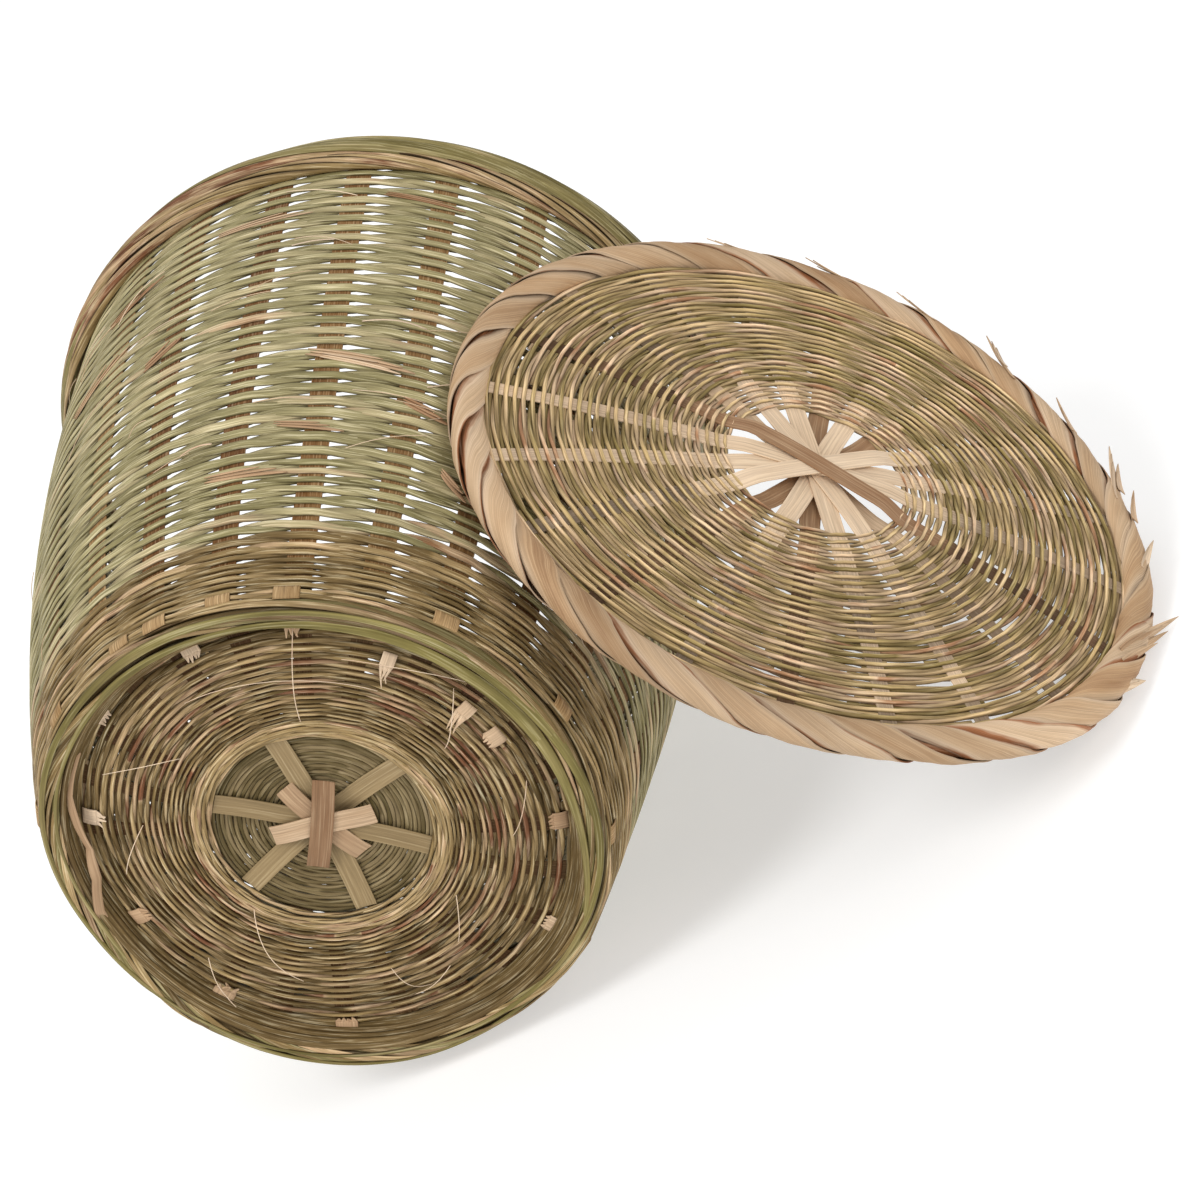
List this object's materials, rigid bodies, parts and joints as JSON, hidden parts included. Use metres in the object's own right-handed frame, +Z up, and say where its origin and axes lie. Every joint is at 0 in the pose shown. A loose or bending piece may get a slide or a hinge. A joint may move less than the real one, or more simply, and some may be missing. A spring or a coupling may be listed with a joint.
{
  "type": "lidded basket",
  "caption": "Round lidded storage basket of twined bamboo splints on a twisted foot ring, laid on its side with its loose dished lid leaning against it.",
  "frame": {"origin": "on the ground, under the middle of the box round the basket and its lid", "axes": "+Z up; +Y the way the lying basket's mouth points, so its foot looks towards -Y; +X towards the leaning lid"},
  "size_m": [0.3612, 0.264, 0.2349],
  "materials": {
    "green_weave": "dry split bamboo, olive green with tan streaks, low sheen",
    "tan_weave": "dry split bamboo, tan, low sheen",
    "brown_weave": "dry split bamboo, brown with green strands, low sheen",
    "fine_green_weave": "fine dark green split bamboo, low sheen",
    "stake": "tan bamboo splint with fine grain, matt",
    "green_cane": "olive green bamboo skin, satin",
    "grey_splint": "grey green bamboo splint with long grain, satin",
    "pale_splint": "pale straw bamboo splint with long grain, satin",
    "straw_wrap": "pale straw bamboo strip with pink tinge, satin"
  },
  "bodies": {
    "basket": {"base_weave": "brown_weave", "foot_cane_1": "green_cane", "foot_cane_2": "green_cane", "foot_cane_3": "green_cane", "foot_hoop": "green_cane", "hub_binding": "tan_weave", "hub_cross_splint_1": "pale_splint", "hub_cross_splint_2": "pale_splint", "hub_cross_splint_3": "pale_splint", "hub_disc": "fine_green_weave", "hub_long_splint_1": "grey_splint", "hub_long_splint_2": "grey_splint", "hub_long_splint_3": "grey_splint", "rim_cane_1": "green_cane", "rim_cane_2": "green_cane", "rim_cane_3": "green_cane", "rim_cord": "tan_weave", "stake_01": "stake", "stake_02": "stake", "stake_03": "stake", "stake_04": "stake", "stake_05": "stake", "stake_06": "stake", "stake_07": "stake", "stake_08": "stake", "stake_09": "stake", "stake_10": "stake", "stake_11": "stake", "stake_12": "stake", "stake_13": "stake", "stake_14": "stake", "stake_15": "stake", "stake_16": "stake", "stake_17": "stake", "stake_18": "stake", "stake_19": "stake", "stake_20": "stake", "stake_21": "stake", "stake_22": "stake", "stake_23": "stake", "stake_24": "stake", "wall_lower_band": "tan_weave", "wall_neck_band": "green_weave", "wall_weave": "green_weave"},
    "lid": {"lid_border_core": "tan_weave", "lid_border_wrap_1": "straw_wrap", "lid_border_wrap_2": "straw_wrap", "lid_border_wrap_3": "straw_wrap", "lid_splint_01": "pale_splint", "lid_splint_02": "pale_splint", "lid_splint_03": "pale_splint", "lid_splint_04": "pale_splint", "lid_splint_05": "pale_splint", "lid_splint_06": "pale_splint", "lid_splint_07": "pale_splint", "lid_splint_08": "pale_splint", "lid_splint_09": "pale_splint", "lid_splint_10": "pale_splint", "lid_weave": "green_weave"}
  },
  "joints": [
    {"name": "lid_lift", "type": "slide", "parent": "basket", "child": "lid", "axis": [0.7503, -0.1283, 0.6485], "range_m": [0, 0.18]}
  ]
}
